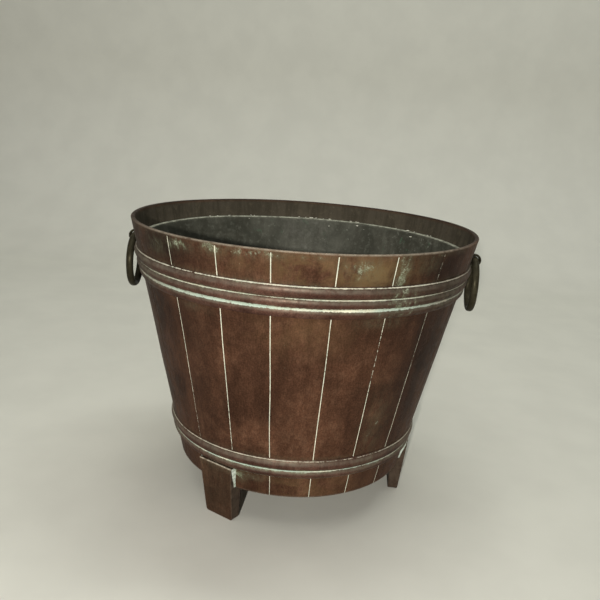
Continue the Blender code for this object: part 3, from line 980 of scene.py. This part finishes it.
def squared(value, power):
    """Sine or cosine of an oval that is a little squarer than round."""
    return np.sign(value) * np.abs(value) ** power


def add_eye(bm):
    thick = (EYE_RADIUS - WORN_HOLE_RADIUS) / 2.0 - 0.02
    middle = (EYE_RADIUS + WORN_HOLE_RADIUS) / 2.0
    section = []
    for a in even_angles(EYE_SECTION):
        along = squared(math.sin(a), 0.8) * (EYE_HALF_LENGTH - 0.03)
        section.append((middle + squared(math.cos(a), 0.8) * thick, along))
    rings = []
    for a in even_angles(EYE_COLUMNS):
        ring = []
        for r, y in section:
            ring.append(bm.verts.new((EYE_DROP + r * math.cos(a), y, EYE_REACH + r * math.sin(a))))
        rings.append(ring)
    for i in range(EYE_COLUMNS):
        for k in range(EYE_SECTION):
            j, m = (i + 1) % EYE_COLUMNS, (k + 1) % EYE_SECTION
            bm.faces.new((rings[i][k], rings[i][m], rings[j][m], rings[j][k]))


def cast_as_one(bm, name):
    """Mesh of the joined and softened shapes in a bmesh."""
    rough = bpy.data.meshes.new(name + "_rough")
    bm.to_mesh(rough)
    bm.free()
    temp = link_object(name + "_rough", rough)
    remesh = temp.modifiers.new("cast", "REMESH")
    remesh.mode = "VOXEL"
    remesh.voxel_size = CAST_GRAIN
    soften = temp.modifiers.new("soften", "SMOOTH")
    soften.factor = 0.5
    soften.iterations = 3
    graph = bpy.context.evaluated_depsgraph_get()
    mesh = bpy.data.meshes.new_from_object(temp.evaluated_get(graph))
    mesh.name = name
    bpy.data.objects.remove(temp)
    return mesh


def build_lug(word, side, material, seed):
    """Cast eye with a thick rounded rim, on a pad and neck blended into it."""
    bm = bmesh.new()
    add_eye(bm)
    stem = [
        (SHANK_RADIUS, -1.6),
        (SHANK_RADIUS, 0.1),
        (PAD_RADIUS, 0.1),
        (PAD_RADIUS, 0.75),
        (PAD_RADIUS - 0.6, 1.5),
        (PAD_RADIUS - 0.7, EYE_REACH - EYE_HOLE_RADIUS - 0.25),
    ]
    join_lathe(bm, stem, 32)
    bmesh.ops.recalc_face_normals(bm, faces=bm.faces)
    mesh = cast_as_one(bm, "lug_" + word)
    co = np.zeros(len(mesh.vertices) * 3)
    mesh.vertices.foreach_get("co", co)
    co = co.reshape(-1, 3)
    centre = np.array([EYE_DROP, 0.0, EYE_REACH])
    co = co + 0.05 * wave_noise(co, 3.0, seed)[:, None] * (co - centre) / 4.0
    mesh.vertices.foreach_set("co", co.ravel())
    reach = np.hypot(co[:, 0] - EYE_DROP, co[:, 2] - EYE_REACH)
    pale_wear_and_highlight = 0.35 * smooth_step(3.7, 4.2, reach) * (co[:, 2] > EYE_REACH - 1.0)
    set_patina(mesh, len(co), green=1.0, edge=pale_wear_and_highlight, verd=0.7 * smooth_step(1.6, 0.4, co[:, 2]))
    stand = Matrix.Rotation(math.radians(90.0) + SLOPE, 4, "Y")
    spot = Matrix.Translation(Vector((wall_radius(LUG_HEIGHT), 0.0, LUG_HEIGHT)))
    turn = Matrix.Rotation(0.0 if side > 0 else math.pi, 4, "Z")
    mesh.transform(Matrix.Scale(MM, 4) @ turn @ spot @ stand)
    add_piece("lug_piece_" + word, mesh, material, 60.0, "pot", "lug_" + word)


# How far each ring has turned in its eye about the upright, in degrees
RING_TURNS = {"right": 4.5, "left": -3.5}


def build_ring(word, side, material, seed):
    """Ring of oval wire, a little rubbed where it runs in its eye."""
    majors, minors = 144, 28
    turn = even_angles(majors)[:, None]
    around = even_angles(minors)[None, :]
    top = smooth_step(0.9, 1.0, np.sin(turn))
    half_depth = RING_HALF_DEPTH - 0.04 + (RING_TOP_DEPTH - RING_HALF_DEPTH) * top
    depth = squared(np.cos(around), 0.9) * half_depth
    width = squared(np.sin(around), 0.9) * (RING_HALF_WIDTH - 0.06 - 0.1 * top)
    reach = RING_RADIUS + depth
    points = np.stack([width + 0.0 * turn, reach * np.cos(turn), reach * np.sin(turn)], axis=-1)
    centre = np.stack([0.0 * turn, RING_RADIUS * np.cos(turn), RING_RADIUS * np.sin(turn)], axis=-1)
    lump = 0.035 * wave_noise(points, 5.0, seed) - 0.03
    points = points + (points - centre) / RING_HALF_WIDTH * lump[..., None]
    mesh = grid_mesh("ring_" + word, points)
    set_patina(mesh, points.shape[:2], edge=0.15 + 0.35 * top, verd=0.06)
    radius = wall_radius(LUG_HEIGHT) + EYE_REACH * math.cos(SLOPE) - EYE_DROP * math.sin(SLOPE)
    height = LUG_HEIGHT - EYE_REACH * math.sin(SLOPE) - EYE_DROP * math.cos(SLOPE)
    hang = Matrix.Translation(Vector((side * radius, 0.0, height - RING_RADIUS)) * MM)
    mesh.transform(hang @ Matrix.Rotation(math.radians(-RING_TURNS[word]), 4, "Z"))
    body = word + "_ring"
    add_piece("ring_piece_" + word, mesh, material, 60.0, body, "ring_" + word)


# ------------------------------------------------------------------- the liner


def liner_radius(z):
    return wall_radius(z) - WALL_THICK - LINER_GAP


LINER_STAINS = [
    (150.0, 166.0, 30.0, 14.0, 0.8),
    (165.0, 150.0, 20.0, 20.0, 0.6),
    (120.0, 168.0, 26.0, 10.0, 1.0),
    (135.0, 160.0, 12.0, 14.0, 0.9),
    (200.0, 168.0, 34.0, 8.0, 0.5),
    (20.0, 165.0, 40.0, 12.0, 0.8),
    (300.0, 160.0, 40.0, 20.0, 0.6),
]


def liner_profile():
    """Closed loop: up the outside, over the turned-out lip, down the inside."""
    under = LINER_TOP - LINER_LIP_THICK
    lip_edge = wall_radius(under) - WALL_THICK - LINER_LIP_GAP - 0.1
    profile = [(liner_radius(z), z) for z in np.linspace(LINER_BOTTOM, under - 1.6, 20)]
    profile += [
        (liner_radius(under - 0.8) + 0.15, under - 0.8),
        (liner_radius(under) + 0.5, under - 0.1),
        (lip_edge - 0.5, under + 0.02),
    ]
    profile += arc(lip_edge - 0.4, under + 0.4, 0.4, -80.0, 90.0, 6)
    inside_top = liner_radius(LINER_TOP) - LINER_THICK
    profile += [(inside_top + 1.5, LINER_TOP), (inside_top + 0.9, LINER_TOP - 0.08)]
    profile += arc(inside_top + 0.75, LINER_TOP - 0.95, 0.85, 95.0, 175.0, 4)
    upper, lower = np.linspace(LINER_TOP - 2.2, 165.0, 6), np.linspace(160.0, LINER_BOTTOM, 34)
    profile += [(liner_radius(z) - LINER_THICK, z) for z in np.concatenate([upper, lower])]
    return np.array(profile)


def build_liner(material):
    profile = liner_profile()
    points = ring_points(profile, even_angles(320))
    z = profile[:, 1][:, None]
    dents = 0.22 * wave_noise(points, 36.0, 21) + 0.08 * wave_noise(points, 11.0, 22)
    calm = 1.0 - 0.75 * smooth_step(165.0, 174.0, z)
    points = push_out(points, np.clip(dents, -0.35, 0.35) * calm)
    dip = 0.18 * (1.0 + np.clip(wave_noise(points, 45.0, 23), -1.0, 1.0))
    points[..., 2] -= dip * smooth_step(168.0, 175.0, z)
    mesh = grid_mesh("liner", points)
    lip = smooth_step(LINER_TOP - 1.0, LINER_TOP - 0.35, z)
    set_patina(mesh, points.shape[:2], line=lip, verd=spots(points, LINER_STAINS, 105.0))
    add_piece("liner_shell", mesh, material, 50.0, "liner", "liner_wall")


def build_liner_floor(material):
    edge = liner_radius(LINER_BASE_BOTTOM) - LINER_THICK - 0.3
    profile = [(4.0, LINER_BASE_BOTTOM), (40.0, LINER_BASE_BOTTOM)]
    profile += arc(edge - 0.4, LINER_BASE_BOTTOM + 0.4, 0.4, -90.0, 0.0, 3)
    profile += arc(edge - 0.4, LINER_BASE_TOP - 0.4, 0.4, 0.0, 90.0, 3)
    profile += [(r, LINER_BASE_TOP) for r in (70.0, 60.0, 50.0, 40.0, 30.0, 20.0, 10.0, 4.0)]
    build_disc("liner_floor", profile, "liner", "liner_base", material)


# Bearing, spread and number of each scatter of crumbs
CRUMB_SCATTERS = [
    (176.0, 5.0, 12),
    (160.0, 3.0, 9),
    (133.0, 8.0, 8),
    (215.0, 12.0, 6),
    (20.0, 40.0, 10),
]
CRUMBS_ON_LIP = 0.7


def build_crumbs(material):
    """Small crumbs of lime that lie on the liner's lip and cling just below it."""
    rng = np.random.default_rng(31)
    bm = bmesh.new()
    places = []
    for centre, spread, count in CRUMB_SCATTERS:
        for _ in range(count):
            places.append(rng.normal(centre, spread))
    for bearing in places:
        size = rng.uniform(0.25, 0.7)
        made = bmesh.ops.create_icosphere(bm, subdivisions=2, radius=size)["verts"]
        squash = Vector((rng.uniform(0.8, 1.5), rng.uniform(0.8, 1.8), rng.uniform(0.4, 0.7)))
        for vert in made:
            knock = 1.0 + rng.uniform(-0.16, 0.16)
            vert.co = vert.co * squash * knock
        if rng.uniform(0.0, 1.0) < CRUMBS_ON_LIP:
            radius = liner_radius(LINER_TOP) + rng.uniform(-0.4, 0.9)
            height = LINER_TOP + 0.1
        else:
            radius = liner_radius(171.0) - LINER_THICK - 0.1
            height = rng.uniform(167.0, 173.0)
        turn = Matrix.Rotation(bearing_to_angle(bearing), 4, "Z")
        shift = Matrix.Translation(Vector((radius, 0.0, height)))
        bmesh.ops.transform(bm, matrix=turn @ shift, verts=made)
    mesh = bpy.data.meshes.new("crumbs")
    bm.to_mesh(mesh)
    bm.free()
    mesh.transform(Matrix.Scale(MM, 4))
    add_piece("lime_crumbs", mesh, material, 80.0, "liner")


# --------------------------------------------------------- stage, light, camera

FLOOR_TONE = srgb(212, 210, 198)
BACK_DISTANCE = 0.62
SWEEP_RADIUS = 0.35


def build_stage():
    """Pale floor that sweeps up into a plain backdrop."""
    path = [(-1.6, 0.0), (BACK_DISTANCE, 0.0)]
    for i in range(1, 25):
        a = math.radians(90.0 * i / 24)
        path.append((BACK_DISTANCE + SWEEP_RADIUS * math.sin(a), SWEEP_RADIUS * (1.0 - math.cos(a))))
    path.append((BACK_DISTANCE + SWEEP_RADIUS, 2.2))
    verts = []
    faces = []
    for y, z in path:
        verts += [(-2.2, y, z), (2.2, y, z)]
    for i in range(len(path) - 1):
        faces.append((2 * i, 2 * i + 1, 2 * i + 3, 2 * i + 2))
    mesh = bpy.data.meshes.new("studio_sweep")
    mesh.from_pydata(verts, [], faces)
    mesh.shade_smooth()
    mesh.materials.append(stage_look("studio", FLOOR_TONE))
    link_object("studio_sweep", mesh)


# Name, place and target in metres, size, power in watts and colour of each area light
LIGHTS = [
    ("key", (-0.07, -0.8, 0.317), (0.0, 0.0, 0.14), (0.015, 0.015), 5.7, (1.0, 0.985, 0.95)),
    ("top", (-0.25, -0.5, 1.6), (0.0, 0.0, 0.1), (1.2, 0.9), 6.0, (1.0, 0.98, 0.95)),
    ("backdrop", (0.35, 0.25, 1.9), (0.4, 1.0, 0.6), (1.4, 0.4), 15.0, (0.95, 1.0, 0.985)),
]
AIR_TONE = (0.95, 0.97, 1.0, 1.0)
AIR_STRENGTH = 0.1


def build_lights():
    for name, where, target, size, power, colour in LIGHTS:
        data = bpy.data.lights.new(name, "AREA")
        data.shape = "RECTANGLE"
        data.size, data.size_y = size
        data.energy = power
        data.color = colour
        light = link_object(name, data)
        light.location = where
        aim = Vector(target) - Vector(where)
        light.rotation_euler = aim.to_track_quat("-Z", "Y").to_euler()
    world = bpy.data.worlds.new("studio_air")
    world.use_nodes = True
    air = world.node_tree.nodes["Background"]
    air.inputs["Color"].default_value = AIR_TONE
    air.inputs["Strength"].default_value = AIR_STRENGTH
    bpy.context.scene.world = world


CAMERA_DISTANCE = 0.45347
CAMERA_HEIGHT = 0.25241
CAMERA_BEARING = 2.0
CAMERA_AIM = Vector((0.0, 0.0, 0.13206))
CAMERA_ROLL = 3.892
CAMERA_LENS = 40.293


def build_camera():
    angle = bearing_to_angle(CAMERA_BEARING)
    outward = Vector((math.cos(angle), math.sin(angle), 0.0))
    eye = CAMERA_DISTANCE * outward + Vector((0.0, 0.0, CAMERA_HEIGHT))
    forward = (CAMERA_AIM - eye).normalized()
    level = forward.cross(Vector((0.0, 0.0, 1.0))).normalized()
    rise = level.cross(forward)
    roll = math.radians(CAMERA_ROLL)
    right = level * math.cos(roll) + rise * math.sin(roll)
    up = rise * math.cos(roll) - level * math.sin(roll)
    data = bpy.data.cameras.new("camera")
    data.lens = CAMERA_LENS
    data.sensor_width = 36.0
    camera = link_object("camera", data)
    basis = Matrix((right, up, -forward)).transposed()
    camera.matrix_world = Matrix.Translation(eye) @ basis.to_4x4()
    bpy.context.scene.camera = camera


# ------------------------------------------------------------------- the build

wall_look = patina_look(
    "wall_brass",
    (srgb(70, 47, 35), srgb(88, 60, 45), srgb(102, 74, 57)),
    # Pale tone of wear and of the painted highlight on the lip
    srgb(146, 134, 118),
    tint=srgb(122, 100, 68),
)
hoop_look = patina_look(
    "hoop_brass",
    (srgb(74, 50, 42), srgb(90, 63, 53), srgb(104, 80, 68)),
    # Pale tone of the painted highlight along the reeds
    srgb(124, 115, 102),
    gloss=0.44,
)
foot_look = patina_look(
    "foot_brass",
    (srgb(66, 47, 35), srgb(82, 59, 45), srgb(94, 70, 54)),
    srgb(120, 104, 90),
)
base_look = patina_look(
    "base_brass",
    (srgb(66, 50, 36), srgb(84, 62, 44), srgb(98, 78, 58)),
    srgb(120, 100, 80),
    gloss=0.6,
    metal=0.4,
)
handle_look = patina_look(
    "handle_brass",
    (srgb(38, 35, 26), srgb(50, 47, 35), srgb(66, 62, 47)),
    srgb(92, 84, 66),
    gloss=0.42,
)

build_wall(wall_look)
build_hoop("upper", UPPER_HOOP_LINES, UPPER_HOOP_BULGES, UPPER_RESIDUE, hoop_look, 11)
build_hoop("lower", LOWER_HOOP_LINES, LOWER_HOOP_BULGES, LOWER_RESIDUE, hoop_look, 31)
build_base(base_look)
solder = solder_look()
for count, (word, bearing) in enumerate(FOOT_BEARINGS.items()):
    build_foot(word, bearing, foot_look, 40 + count)
    build_fillets(word, bearing, solder, 60 + count)
for word, side in (("right", 1), ("left", -1)):
    build_lug(word, side, handle_look, 70 + side)
    build_ring(word, side, handle_look, 80 + side)
zinc = liner_look()
build_liner(zinc)
build_liner_floor(zinc)
build_crumbs(crumb_look())
build_stage()
build_lights()
build_camera()
bpy.context.scene.view_settings.view_transform = "Standard"
